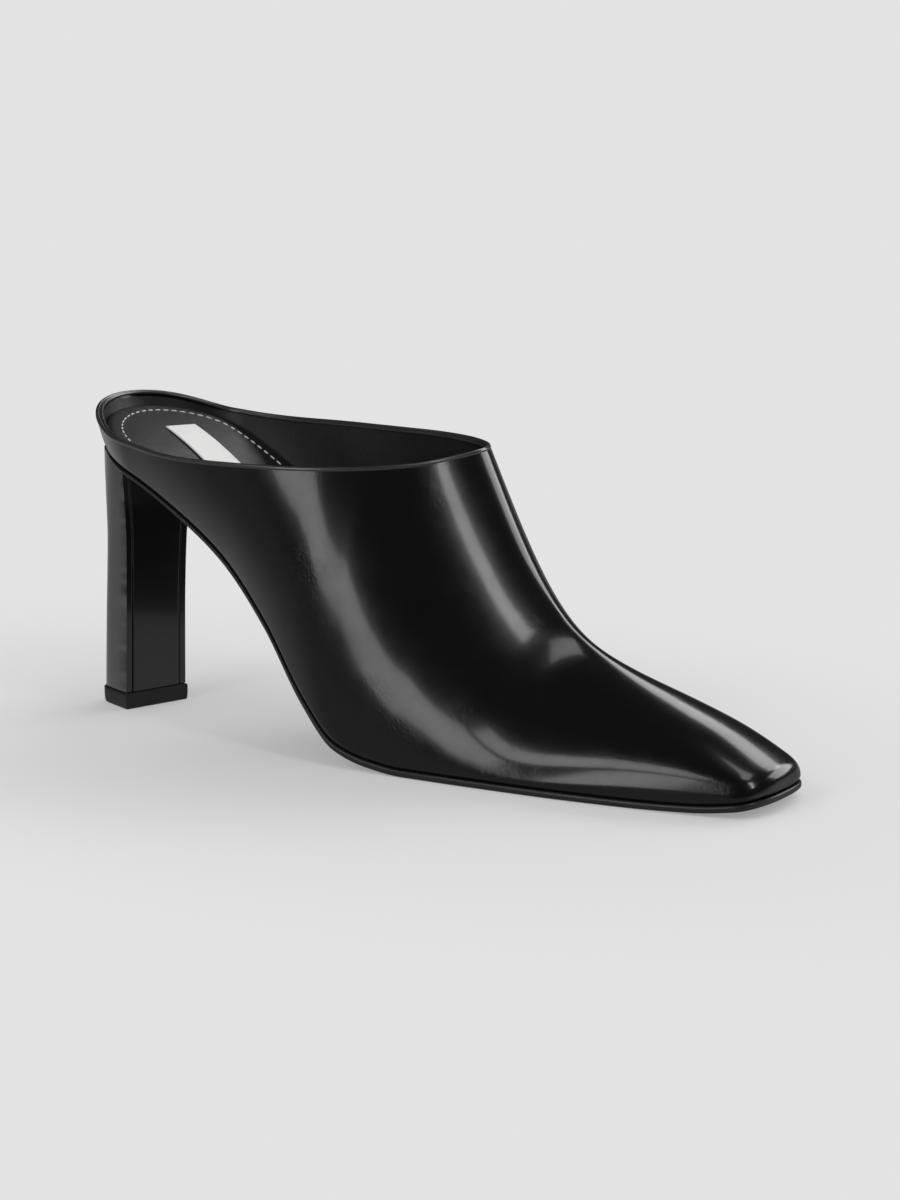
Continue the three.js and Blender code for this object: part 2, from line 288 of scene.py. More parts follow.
def edit(piece, *steps):
    """Runs edit-mode steps on the whole of a piece."""
    bpy.ops.object.select_all(action="DESELECT")
    piece.select_set(True)
    bpy.context.view_layer.objects.active = piece
    bpy.ops.object.mode_set(mode="EDIT")
    bpy.ops.mesh.select_all(action="SELECT")
    for step in steps:
        step()
    bpy.ops.object.mode_set(mode="OBJECT")


def weld(piece, millimetres):
    edit(piece, lambda: bpy.ops.mesh.remove_doubles(threshold=millimetres / 1000))


def cut_above(piece, height):
    """Cuts a piece along a height that changes over the plan, and clears what is above it."""
    corners = corners_of(piece)
    corners[:, 2] -= height(corners[:, 0] + ORIGIN[0], corners[:, 1] + ORIGIN[1])
    set_corners(piece, corners)
    edit(piece, lambda: bpy.ops.mesh.bisect(plane_co=(0, 0, 0), plane_no=(0, 0, 1), clear_outer=True))
    corners = corners_of(piece)
    corners[:, 2] += height(corners[:, 0] + ORIGIN[0], corners[:, 1] + ORIGIN[1])
    set_corners(piece, corners)


def modify(piece, kind, **values):
    modifier = piece.modifiers.new(kind.title(), kind)
    for name, value in values.items():
        setattr(modifier, name, value)
    bpy.context.view_layer.objects.active = piece
    bpy.ops.object.modifier_apply(modifier=modifier.name)


def smooth(piece, degrees=38):
    bpy.ops.object.select_all(action="DESELECT")
    piece.select_set(True)
    bpy.context.view_layer.objects.active = piece
    bpy.ops.object.shade_smooth_by_angle(angle=math.radians(degrees))


def finish_piece(piece, material, slot, *nodes):
    piece.data.materials.clear()
    piece.data.materials.append(material)
    smooth(piece)
    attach(piece, "root")
    if nodes:
        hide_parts(*nodes)
    faces = sum(len(p.vertices) - 2 for p in piece.data.polygons)
    print(f"{piece.name}: {faces} triangles")
    return piece


# %% [markdown]
# ## Finishes
#
# Each finish is procedural and reads Object coordinates, so it stays put in every view. The
# nodes are written as arithmetic: a small class wraps a socket, and +, -, * and the rest make
# Math nodes. That keeps a leather's recipe to a few lines: grain, fine wrinkles, a slow
# unevenness of the gloss. A ready-made picture of leather would be quicker, but would blur close up.


# %% A socket that does arithmetic
class Wire:
    def __init__(self, tree, socket):
        self.tree, self.socket = tree, socket

    def math(self, operation, *others):
        node = self.tree.nodes.new("ShaderNodeMath")
        node.operation = operation
        for slot, value in zip(node.inputs, (self, *others)):
            feed(self.tree, slot, value)
        return Wire(self.tree, node.outputs[0])

    def flipped(self, operation, other):
        node = self.tree.nodes.new("ShaderNodeMath")
        node.operation = operation
        feed(self.tree, node.inputs[0], other)
        feed(self.tree, node.inputs[1], self)
        return Wire(self.tree, node.outputs[0])

    def __add__(self, other):
        return self.math("ADD", other)

    def __sub__(self, other):
        return self.math("SUBTRACT", other)

    def __mul__(self, other):
        return self.math("MULTIPLY", other)

    def __truediv__(self, other):
        return self.math("DIVIDE", other)

    def __rsub__(self, other):
        return self.flipped("SUBTRACT", other)

    def __rtruediv__(self, other):
        return self.flipped("DIVIDE", other)

    __radd__, __rmul__ = __add__, __mul__

    def between(self, low, high):
        """0 below low, 1 above high, smooth in between."""
        node = self.tree.nodes.new("ShaderNodeMapRange")
        node.interpolation_type = "SMOOTHSTEP"
        feed(self.tree, node.inputs["Value"], self)
        node.inputs["From Min"].default_value = low
        node.inputs["From Max"].default_value = high
        return Wire(self.tree, node.outputs["Result"])


def feed(tree, slot, value):
    if isinstance(value, Wire):
        tree.links.new(value.socket, slot)
    else:
        slot.default_value = value


# %% A material under construction
class Finish:
    def __init__(self, name, colour, roughness, **constants):
        self.material = bpy.data.materials.new(name)
        self.material.use_nodes = True
        self.tree = self.material.node_tree
        self.shader = self.tree.nodes["Principled BSDF"]
        self.shader.inputs["Base Color"].default_value = (*colour, 1)
        self.shader.inputs["Roughness"].default_value = roughness
        for socket, value in constants.items():
            self.shader.inputs[socket.replace("_", " ")].default_value = value
        self.place = self.node("ShaderNodeTexCoord", "Object")
        self.bumped = None

    def node(self, kind, output, settings=None, **inputs):
        """Any other node: its settings, its inputs by name, and the output wanted."""
        node = self.tree.nodes.new(kind)
        for name, value in (settings or {}).items():
            setattr(node, name, value)
        for name, value in inputs.items():
            feed(self.tree, node.inputs[name.replace("_", " ")], value)
        return Wire(self.tree, node.outputs[output])

    def stretched(self, scale, turn=(0, 0, 0)):
        """Object coordinates in millimetres over scale, turned in degrees."""
        scales, angles = tuple(1000 / s for s in scale), tuple(math.radians(a) for a in turn)
        return self.node("ShaderNodeMapping", "Vector", Vector=self.place, Scale=scales, Rotation=angles)

    def noise(self, size, detail=2.0, rough=0.5, warp=0.0, turn=(0, 0, 0)):
        size = size if isinstance(size, tuple) else (size,) * 3
        return self.node("ShaderNodeTexNoise", "Fac", Vector=self.stretched(size, turn), Scale=1.0,
                         Detail=detail, Roughness=rough, Distortion=warp)

    def cells(self, size, feature="SMOOTH_F1"):
        return self.node("ShaderNodeTexVoronoi", "Distance", {"feature": feature},
                         Vector=self.stretched((size,) * 3), Scale=1.0)

    def along(self, axis):
        """Object coordinate along X, Y or Z, in millimetres."""
        return self.node("ShaderNodeSeparateXYZ", axis, Vector=self.place) * 1000

    def bump(self, height, distance, strength=1.0):
        """Adds relief: height from 0 to 1, distance in millimetres."""
        inputs = {"Height": height, "Distance": distance / 1000, "Strength": strength}
        if self.bumped:
            inputs["Normal"] = self.bumped
        self.bumped = self.node("ShaderNodeBump", "Normal", **inputs)
        feed(self.tree, self.shader.inputs["Normal"], self.bumped)

    def vary(self, socket, wire):
        feed(self.tree, self.shader.inputs[socket], wire)

    def blend_colour(self, factor, low, high):
        node = self.tree.nodes.new("ShaderNodeMix")
        node.data_type = "RGBA"
        feed(self.tree, node.inputs[0], factor)
        node.inputs[6].default_value = (*low, 1)
        node.inputs[7].default_value = (*high, 1)
        self.vary("Base Color", Wire(self.tree, node.outputs[2]))


# %% [markdown]
# ### Polished leather
#
# Smooth calf is buffed until it mirrors, but never quite evenly: there are pores under half a
# millimetre across and, on the vamp, hair-fine wrinkles where it was pulled over the last and a
# slow waviness that bends long reflections. A clear coat gives the sharp part of the gloss and the rougher
# base under it the soft glow round each highlight.

# %% Polished leather for the vamp and the heel cover
def polished_leather(name, wrinkles):
    leather = Finish(name, (0.0075, 0.0075, 0.008), 0.22, Coat_Weight=0.6, Coat_Roughness=0.1,
                     Specular_IOR_Level=0.42)
    if wrinkles:
        leather.bump(leather.noise(22, detail=1.0), 0.3, 0.3)
        leather.bump(leather.noise(7, detail=1.0), 0.06, 0.5)
        fine = leather.noise((1.0, 4.5, 1.0), detail=3.0, warp=0.6, turn=(0, 35, 20))
        where = leather.noise(16, detail=1.0).between(0.48, 0.68)
        leather.bump(fine * where, 0.14, 0.6)
    leather.bump(leather.cells(0.42), 0.022, 0.5)
    leather.vary("Roughness", 0.17 + 0.09 * leather.noise(5, detail=3.0))
    leather.vary("Coat Weight", 0.45 + 0.2 * leather.noise(9, detail=2.0))
    leather.blend_colour(leather.noise(14, detail=3.0), (0.003, 0.003, 0.0032), (0.0055, 0.0054, 0.0055))
    return leather.material


def painted_highlight_edge_finish():
    """The folded and trimmed edges: the same leather, waxed, with a paler base colour as a painted
    highlight along them.
    """
    # The base colour, several times paler than the vamp's, is a painted highlight on the thin edges.
    edge = Finish("edge_leather_painted_highlight", (0.03, 0.03, 0.03), 0.3, Coat_Weight=0.8, Coat_Roughness=0.16)
    edge.bump(edge.noise(5, detail=2.0), 0.05, 0.5)
    edge.vary("Roughness", 0.26 + 0.1 * edge.noise(4, detail=3.0))
    edge.blend_colour(edge.noise(6, detail=2.0), (0.02, 0.02, 0.02), (0.04, 0.039, 0.038))
    return edge.material


painted_highlight_edges = painted_highlight_edge_finish()
vamp_leather = polished_leather("polished_vamp_leather", wrinkles=True)
heel_leather = polished_leather("polished_heel_cover", wrinkles=False)
print("leathers:", vamp_leather.name, heel_leather.name)


# %% Lining, sock, sole edge, lift, thread and label
def soft_leather(name, colour, roughness, grain):
    leather = Finish(name, colour, roughness, Specular_IOR_Level=0.45)
    leather.bump(leather.noise(9, detail=2.0), 0.12, 0.5)
    leather.bump(leather.cells(grain), 0.05, 0.6)
    leather.vary("Roughness", (roughness - 0.06) + 0.12 * leather.noise(4, detail=3.0))
    leather.blend_colour(leather.noise(11, detail=3.0), tuple(c * 0.8 for c in colour),
                         tuple(c * 1.25 for c in colour))
    return leather.material


def sole_finish():
    sole = Finish("waxed_sole_leather", (0.012, 0.012, 0.012), 0.34, Coat_Weight=0.2, Coat_Roughness=0.2)
    sole.bump(sole.noise((6, 6, 0.5), detail=3.0), 0.06, 0.5)
    sole.bump(sole.noise(0.6, detail=2.0), 0.03, 0.5)
    sole.vary("Roughness", 0.3 + 0.16 * sole.noise(6, detail=3.0))
    sole.blend_colour(sole.noise(9, detail=3.0), (0.01, 0.01, 0.01), (0.018, 0.0175, 0.017))
    return sole.material


def rubber_finish():
    rubber = Finish("matte_lift_rubber", (0.014, 0.014, 0.014), 0.6, Specular_IOR_Level=0.4)
    rubber.bump(rubber.noise(0.35, detail=2.0), 0.03, 0.6)
    rubber.bump(rubber.noise((9, 9, 1.6), detail=1.0), 0.05, 0.4)
    rubber.vary("Roughness", 0.52 + 0.16 * rubber.noise(3, detail=3.0))
    rubber.blend_colour(rubber.noise(5, detail=3.0), (0.011, 0.011, 0.011), (0.019, 0.019, 0.019))
    return rubber.material


def thread_finish():
    thread = Finish("waxed_white_thread", (0.72, 0.71, 0.68), 0.55)
    twist = thread.along("X") * 9 + thread.along("Y") * 9
    thread.bump(twist.math("SINE") * 0.5 + 0.5, 0.06, 0.6)
    thread.blend_colour(thread.noise(1.5), (0.6, 0.59, 0.56), (0.8, 0.79, 0.77))
    return thread.material


def label_finish():
    label = Finish("white_label_leather", (0.86, 0.86, 0.85), 0.42)
    label.bump(label.cells(0.35), 0.03, 0.5)
    label.bump(label.noise(6, detail=1.0), 0.08, 0.4)
    label.vary("Roughness", 0.38 + 0.1 * label.noise(3, detail=2.0))
    label.blend_colour(label.noise(8, detail=2.0), (0.8, 0.8, 0.79), (0.88, 0.88, 0.87))
    return label.material


lining_leather = soft_leather("matte_lining_leather", (0.010, 0.010, 0.0105), 0.42, 0.5)
sock_leather = soft_leather("soft_sock_leather", (0.0095, 0.0095, 0.01), 0.43, 0.7)
sole_leather, lift_rubber = sole_finish(), rubber_finish()
thread, label_leather = thread_finish(), label_finish()
print("materials:", len(bpy.data.materials))

# %% [markdown]
# ## The vamp
#
# One piece of leather is pulled over the forefoot and runs back on both sides as the rim round
# the heel. It is laid as one grid over the whole last, welded along the ridge and at the back
# of the heel, and the topline is cut through it. The leather isn't perfectly tight: a few long
# soft troughs cross the instep and the side where the foot will bend. Each is a row: place
# along the shoe, height, its direction, how long, how wide and how deep it is.

# %% Soft creases, placed one by one
CREASES = [
    # side, x, z, degrees, length, width, depth
    (-1, 106, 40, 62, 44, 8.0, 0.16),
    (-1, 122, 30, 48, 34, 6.5, 0.12),
    (-1, 142, 24, 28, 30, 6.0, 0.12),
    (-1, 128, 62, 66, 30, 7.0, -0.14),
    (-1, 150, 34, 30, 24, 6.0, -0.12),
    (1, 110, 48, 60, 42, 7.0, 0.28),
    (1, 138, 30, 38, 32, 6.0, 0.20),
    (1, 128, 64, 66, 30, 6.0, -0.20),
]


def crease_depth(point, side):
    """How far the soft creases sink the leather at a point of the last."""
    total = np.zeros(len(point))
    for crease_side, x, z, degrees, length, width, depth in CREASES:
        turn = math.radians(degrees)
        ahead, above = point[:, 0] - x, point[:, 2] - z
        along = ahead * math.cos(turn) - above * math.sin(turn)
        across = ahead * math.sin(turn) + above * math.cos(turn) + along**2 / 260
        soft = np.exp(-((2 * along / length) ** 2) * 1.5 - (across / width) ** 2)
        total += np.where(side == crease_side, depth * soft, 0)
    return total


SHELL_COLUMNS, SHELL_ROWS = 520, 70
ROW_GROWTH = 1.55
VAMP_BELOW_RIM, LINING_BELOW_RIM = 0.35, 0.6


def creased_leather(around, up):
    """The last's surface, tucked in at the feather edge and sunk along the creases."""
    share = up**ROW_GROWTH
    point = on_last(around, share, 0, TUCK)
    side = np.where(np.mod(around, 1) < 0.5, -1, 1)
    fade = np.clip((1 - share) / 0.25, 0, 1)
    depth = crease_depth(point, side) * fade
    return point - facing(around, np.clip(share, 1e-3, 1)) * depth[:, None]


# %% The vamp's leather
vamp = laid_grid("vamp", SHELL_COLUMNS, SHELL_ROWS, creased_leather)
cut_above(vamp, lambda x, y: rim_height(x, y) - VAMP_BELOW_RIM)
modify(vamp, "SOLIDIFY", thickness=LEATHER / 1000, offset=-1)
finish_piece(vamp, vamp_leather, "upper_leather", "upper")

# %% The lining, inside it
LINING_DEPTH = 1.65
LINING_THICKNESS = 0.6
lining = laid_grid("lining", 360, 56, lambda a, b: on_last(a, b**ROW_GROWTH, LINING_DEPTH))
cut_above(lining, lambda x, y: rim_height(x, y) - LINING_BELOW_RIM)
edit(lining, bpy.ops.mesh.flip_normals)
modify(lining, "SOLIDIFY", thickness=LINING_THICKNESS / 1000, offset=-1)
finish_piece(lining, lining_leather, "upper_leather")

# %% [markdown]
# ## The topline
#
# At the topline the vamp's leather is skived, folded over and glued, and the lining is trimmed
# just inside it, so that two thin round edges run side by side with a dark line between them.
# Each edge is a small section swept along the topline; a bevelled curve would do too, but this
# way the section stands square to the leather everywhere.


# %% The topline's path, with the surface's own directions along it
def topline_side(side, steps):
    """One side of the topline, back to throat: places round the shoe and shares of the way up."""

    def rising(x):
        """Where the last's wall meets the topline at these distances from the back."""
        around = np.interp(x, PLACES, WALK) / 2
        around = around if side < 0 else 1 - around
        low, high = np.zeros(len(x)), np.ones(len(x))
        for _ in range(40):
            middle = (low + high) / 2
            point = on_last(around - side * 1e-9, middle)
            over = point[:, 2] > rim_height(point[:, 0], point[:, 1])
            low, high = np.where(over, low, middle), np.where(over, middle, high)
        return around, (low + high) / 2

    ahead = np.linspace(110, 150, 4001)
    throat = ahead[np.argmax(rising(ahead)[1] > 1 - 1e-6)]
    return rising(throat * (1 - np.cos(np.linspace(0, math.pi, steps))) / 2)


def topline_path(steps=1500):
    """The whole topline: out along the outer side, round the throat and back."""
    outer, inner = topline_side(-1, steps), topline_side(1, steps)
    around = np.concatenate([outer[0], inner[0][-2:0:-1]])
    return around, np.concatenate([outer[1], inner[1][-2:0:-1]])


RIM_AROUND, RIM_SHARE = topline_path()
RIM = on_last(RIM_AROUND, RIM_SHARE)
RIM_TANGENT = np.roll(RIM, -3, 0) - np.roll(RIM, 3, 0)
RIM_TANGENT /= np.linalg.norm(RIM_TANGENT, axis=1, keepdims=True)
RIM_FACING = facing(RIM_AROUND, RIM_SHARE)
RIM_DOWN = np.cross(RIM_TANGENT, RIM_FACING)
RIM_DOWN /= np.linalg.norm(RIM_DOWN, axis=1, keepdims=True)
RIM_STEPS = np.linalg.norm(np.diff(RIM, axis=0, append=RIM[:1]), axis=1)
RIM_GONE = np.concatenate([[0], np.cumsum(RIM_STEPS)])
print("topline length, mm:", round(float(RIM_GONE[-1])))


def along_rim(values, share):
    """Values given at the topline's points, read off at a share of its length."""
    closed = np.concatenate([values, values[:1]])
    return np.stack([np.interp(share * RIM_GONE[-1], RIM_GONE, closed[:, i]) for i in range(3)], -1)


def swept(name, columns, profile, material):
    """A closed section, given as (outwards, down) in millimetres, swept along the topline."""
    section = np.array(profile + profile[:1], float)
    marks = np.linspace(0, 1, len(section))

    def place(around, up):
        out, down = (np.interp(up, marks, section[:, i])[:, None] for i in range(2))
        sideways = out * along_rim(RIM_FACING, around) + down * along_rim(RIM_DOWN, around)
        return along_rim(RIM, around) + sideways

    piece = laid_grid(name, columns, len(profile), place)
    return finish_piece(piece, material, "upper_leather")


def rounded(out, down, radius, steps=14, squash=1.1):
    """A round section, a little taller than wide."""
    turns = [2 * math.pi * i / steps for i in range(steps)]
    return [(out + radius * math.cos(t), down + squash * radius * math.sin(t)) for t in turns]


# %% The two edges
RIM_COUNT = 420
# Both edges carry the painted highlight of the paler edge finish.
swept("folded_edge", RIM_COUNT, rounded(-0.5, 0.2, 0.72), painted_highlight_edges)
swept("lining_edge", RIM_COUNT, rounded(-1.72, 0.42, 0.46), painted_highlight_edges)

# %% [markdown]
# ## The insole and its sock
#
# A padded sock of soft leather covers the board, thick under the heel and thinner ahead. It is
# laid from the inner wall to the middle line, with its edge rolled down a little all round, a
# line of white stitches set in from that edge, and a blank label glued along the seat.


# %% The sock
SOCK_CLEAR = 0.35
SOCK_EDGE = 1.6
SOCK_THICKNESS = 2.2
SOCK_DISH, DISH_REACH, DISH_END = 0.5, 20, 100
AXIS_BACK, AXIS_FRONT = 22, 224


def share_at(around, height, inset):
    """The share of the way up the wall where it is that high over the feather edge."""
    x, _ = place_and_side(around)
    low, high = np.zeros_like(x), np.ones_like(x)
    for _ in range(34):
        middle = (low + high) / 2
        over = wall(x, middle, inset)[1] > height
        low, high = np.where(over, low, middle), np.where(over, middle, high)
    return (low + high) / 2


def sock_top(x):
    return feather_height(x) + last["sock"](x)


def sock_point(around, inwards):
    """A point of the sock, so many millimetres in from the wall; beyond the middle it stops there."""
    x, side = place_and_side(around)
    inset = INNER_FACE + SOCK_CLEAR
    edge = on_last(around, share_at(around, last["sock"](x) - 1, inset), inset)
    middle_x = np.clip(x, AXIS_BACK, AXIS_FRONT)
    middle = np.stack([middle_x, last["centre"](middle_x) + 0.5, edge[:, 2]], -1)
    reach = np.linalg.norm((middle - edge)[:, :2], axis=1)
    share = np.clip(inwards / reach, 0, 1)[:, None]
    point = edge + (middle - edge) * share
    rolled = np.clip(1 - inwards / SOCK_EDGE, 0, 1)
    drop = SOCK_EDGE * (1 - np.sqrt(np.clip(1 - rolled**2, 0, 1)))
    dish = SOCK_DISH * np.clip(inwards / DISH_REACH, 0, 1) ** 2
    point[:, 2] = sock_top(point[:, 0]) - drop - dish * (point[:, 0] < DISH_END)
    return point


SOCK_INWARDS = [0, 0.03, 0.12, 0.3, 0.6, 1, 1.6, 2.6, 4, 5, 6, 8, 10.5, 13, 16, 19, 22, 26, 60]


def sock_grid(around, up):
    marks = np.linspace(0, 1, len(SOCK_INWARDS))
    return sock_point(around, np.interp(up, marks, SOCK_INWARDS))


sock = laid_grid("sock", 300, len(SOCK_INWARDS) - 1, sock_grid)
modify(sock, "SOLIDIFY", thickness=SOCK_THICKNESS / 1000, offset=-1)
finish_piece(sock, sock_leather, "insole_leather", "insole")

# %% The stitches
STITCH_INWARDS = 5
STITCH_PITCH = 2.9
STITCH_LENGTH = 2.0
STITCH_HALF_WIDTH, STITCH_HALF_HEIGHT = 0.27, 0.24
STITCH_BLUNTNESS = 0.7
STITCH_RISE = 0.08
STITCH_LAST = 150


def stitch_places():
    """The middle and the direction of each stitch along a line set in from the sock's edge."""
    around = np.linspace(-0.42, 0.42, 6000)
    point = sock_point(around, np.full_like(around, STITCH_INWARDS))
    point = point[point[:, 0] < STITCH_LAST]
    gone = np.concatenate([[0], np.cumsum(np.linalg.norm(np.diff(point, axis=0), axis=1))])
    marks = np.arange(STITCH_PITCH / 2, gone[-1], STITCH_PITCH)
    ends = [np.stack([np.interp(marks + d, gone, point[:, i]) for i in range(3)], -1)
            for d in (-STITCH_LENGTH / 2, STITCH_LENGTH / 2)]
    return (ends[0] + ends[1]) / 2, ends[1] - ends[0]


def sewn(name, places, directions, material):
    """One small rounded stitch at each place, joined into one piece."""
    bpy.ops.object.select_all(action="DESELECT")
    made = []
    for place, direction in zip(places, directions):
        bpy.ops.mesh.primitive_uv_sphere_add(segments=8, ring_count=6, radius=1)
        stitch = bpy.context.active_object
        unit = direction / np.linalg.norm(direction)
        across = np.cross([0, 0, 1], unit)
        across /= np.linalg.norm(across)
        above = np.cross(unit, across)
        corners = corners_of(stitch) / 1000
        blunt = np.sign(corners[:, :1]) * np.abs(corners[:, :1]) ** STITCH_BLUNTNESS
        shaped = blunt * STITCH_LENGTH / 2 * unit
        shaped += corners[:, 1:2] * STITCH_HALF_WIDTH * across + corners[:, 2:] * STITCH_HALF_HEIGHT * above
        set_corners(stitch, place - ORIGIN + [0, 0, STITCH_RISE] + shaped)
        made.append(stitch)
    for stitch in made:
        stitch.select_set(True)
    bpy.context.view_layer.objects.active = made[0]
    bpy.ops.object.join()
    made[0].name = name
    print("stitches:", len(places))
    return finish_piece(made[0], material, "insole_leather")


sewn("stitches", *stitch_places(), thread)

# %% The label, a blank strip
LABEL_BACK = np.array([16.8, 5.4])
LABEL_LENGTH, LABEL_WIDTH, LABEL_THICKNESS = 62, 16, 0.55
LABEL_TAPER = 0.74
LABEL_SINK = 0.32
LABEL_TURN = math.radians(-11)


def label_grid(along, across):
    ahead = np.array([math.cos(LABEL_TURN), math.sin(LABEL_TURN)])
    left = np.array([-ahead[1], ahead[0]])
    wide = (across - 0.5) * LABEL_WIDTH * (LABEL_TAPER + (1 - LABEL_TAPER) * along)
    flat = LABEL_BACK + np.outer(along * LABEL_LENGTH, ahead) + np.outer(wide, left)
    return np.column_stack([flat, sock_top(flat[:, 0]) - LABEL_SINK])


label = laid_grid("label", 60, 16, label_grid)
modify(label, "SOLIDIFY", thickness=LABEL_THICKNESS / 1000, offset=1)
modify(label, "BEVEL", width=0.18 / 1000, segments=2, angle_limit=math.radians(50))
finish_piece(label, label_leather, "insole_leather")

# %% [markdown]
# ## The outsole
#
# A thin leather sole follows the feather edge under the whole shoe. Only its rounded edge shows
# below the vamp, with a fine groove above it. The section runs from the middle line along the
# tread, round the edge and a little way in on top.

# %% The outsole
SOLE_PROFILE = [
    # inwards, share of the thickness
    (60, 0), (24, 0), (12, 0), (6, 0), (2.5, 0), (1, 0.01), (0.45, 0.06), (0.12, 0.17), (0, 0.3),
    (0, 0.7), (0.1, 0.84), (0.35, 0.95), (0.8, 1), (1.6, 1), (3, 1), (8, 1),
]


def sole_grid(around, up):
    marks = np.linspace(0, 1, len(SOLE_PROFILE))
    inwards, level = (np.interp(up, marks, column) for column in zip(*SOLE_PROFILE))
    x, side = place_and_side(around)
    narrow, ahead = outline_at(x)
    edge = np.stack([x + EDGE * ahead, last["centre"](x) + side * (last["half"](x) + EDGE) * narrow], -1)
    middle_x = np.clip(x, AXIS_BACK, AXIS_FRONT)
    middle = np.stack([middle_x, last["centre"](middle_x)], -1)
    share = np.clip(inwards / np.linalg.norm(middle - edge, axis=1), 0, 1)[:, None]
    flat = edge + (middle - edge) * share
    height = last["rise"](flat[:, 0]) + level * last["sole"](flat[:, 0])
    return np.column_stack([flat, height])


outsole = laid_grid("outsole_edge", 400, 2 * (len(SOLE_PROFILE) - 1), sole_grid)
finish_piece(outsole, sole_leather, "sole_leather", "outsole")

# %% [markdown]
# ## The heel and its lift
#
# The block is covered with the vamp's leather. The cover wraps round from the back and is turned
# in at the breast as two narrow borders, and a separate panel closes the breast between them.
# The block is skinned over level sections and cut along the sole's underside.


# %% One level ring of the heel
BREAST_FROM = 0.62
BORDER = 2.3
GROOVE_DEPTH, GROOVE_WIDTH = 0.34, 0.22
PANEL_RISE, PANEL_RAMP = 0.12, 0.3
HEEL_TOP = 92


def heel_point(around, height, grow=0.0, scale=1.0):
    """A point round the heel at a height: the cover's back and sides first, then across the breast."""
    turn = np.radians(block["turn"](height))
    half, depth = block["half"](height) + grow, block["depth"](height) + 2 * grow
    power = 2 / block["square"](height)
    angle = np.clip(around / BREAST_FROM, 0, 1) * math.pi
    back = -depth * np.clip(np.sin(angle), 0, 1) ** power + grow
    across = half * np.sign(np.cos(angle)) * np.abs(np.cos(angle)) ** power
    on_breast = np.clip((around - BREAST_FROM) / (1 - BREAST_FROM), 0, 1)
    panel = np.interp(on_breast, [0, 0.16, 0.26, 0.74, 0.84, 1], [-1, -0.86, -0.74, 0.74, 0.86, 1])
    breast = around > BREAST_FROM
    across = np.where(breast, panel * half, across)
    back = np.where(breast, grow, back)
    if grow == 0:
        from_border = half - BORDER - np.abs(across)
        groove = GROOVE_DEPTH * np.exp(-((from_border / GROOVE_WIDTH) ** 2))
        panel_rise = PANEL_RISE * np.clip(from_border / PANEL_RAMP, 0, 1)
        back = np.where(breast, back - groove + panel_rise, back)
    across, back = across * scale, (back + depth / 2) * scale - depth / 2
    return np.stack([
        block["breast"](height) + back * np.cos(turn) - across * np.sin(turn),
        block["side"](height) + back * np.sin(turn) + across * np.cos(turn),
        height,
    ], -1)


def heel_grid(around, up):
    """The first rows close the bottom; the rest climb to the seat."""
    foot = LIFT_HEIGHT + GAP
    height = np.interp(up, [0, 0.02, 0.04, 1], [foot, foot, foot + 0.6, HEEL_TOP])
    opened = np.interp(up, [0, 0.02], [0, 1])[:, None]
    ring = heel_point(around, height)
    bottom = heel_point(around, height, scale=0.02)
    return bottom + (ring - bottom) * opened


def seat_underside(x, y):
    """Just under the sole, the same all across the shoe."""
    return last["rise"](x) - GAP / 2 + np.maximum(-x, 0) * SEAT_SLOPE


heel = laid_grid("heel_cover", 300, 100, heel_grid)
cut_above(heel, seat_underside)
modify(heel, "BEVEL", width=0.3 / 1000, segments=2, angle_limit=math.radians(50))
finish_piece(heel, heel_leather, "heel_leather", "heel")

# %% The lift
LIFT_OVERHANG = 0.5
LIFT_ROWS = [
    # share of the width, height
    (0, 0), (0.94, 0), (0.97, 0.12), (0.985, 0.5), (1, 2.6), (1, 4.8), (0.985, 5.1), (0.96, 5.2), (0, 5.2),
]


def lift_grid(around, up):
    marks = np.linspace(0, 1, len(LIFT_ROWS))
    scale, height = (np.interp(up, marks, column) for column in zip(*LIFT_ROWS))
    flat = heel_point(around, np.full_like(up, LIFT_HEIGHT + GAP), grow=LIFT_OVERHANG)
    middle = flat.mean(0)
    point = middle + (flat - middle) * scale[:, None]
    point[:, 2] = height
    return point


lift = laid_grid("lift", 200, 2 * (len(LIFT_ROWS) - 1), lift_grid)
finish_piece(lift, lift_rubber, "lift_rubber", "heel_lift")

# %% [markdown]
# ## Floor, camera and light
#
# A studio shot of glossy black leather is a picture of the lights: the leather itself is almost
# black, and long soft boxes draw its shape as streaks. The floor is pale and plain, and the room
# is dim to the leather so that its core stays black.

# %% The floor
FLOOR_LEVEL = 0.77
FLOOR_SHARE = 0.35
SHADOW_NEAR, SHADOW_FAR, SHADOW_STRETCH = 55, 200, 2.5
bpy.ops.object.select_all(action="DESELECT")
bpy.ops.mesh.primitive_plane_add(size=60, location=(0, 0, 0))
floor = bpy.context.active_object
floor.name = "floor"
paper = Finish("pale_paper", (0.8, 0.8, 0.8), 0.9, Specular_IOR_Level=0.1)
glow = paper.node("ShaderNodeEmission", "Emission", Color=(FLOOR_LEVEL,) * 3 + (1,))
across, along = paper.along("Y"), paper.along("X")
away = (along * along / SHADOW_STRETCH + across * across).math("SQRT").between(SHADOW_NEAR, SHADOW_FAR)
evenly = FLOOR_SHARE + (1 - FLOOR_SHARE) * away
either = paper.node("ShaderNodeMixShader", "Shader", Fac=evenly)
paper.tree.links.new(paper.shader.outputs[0], either.socket.node.inputs[1])
paper.tree.links.new(glow.socket, either.socket.node.inputs[2])
paper.tree.links.new(either.socket, paper.tree.nodes["Material Output"].inputs["Surface"])
floor.data.materials.append(paper.material)
floor.visible_glossy = False


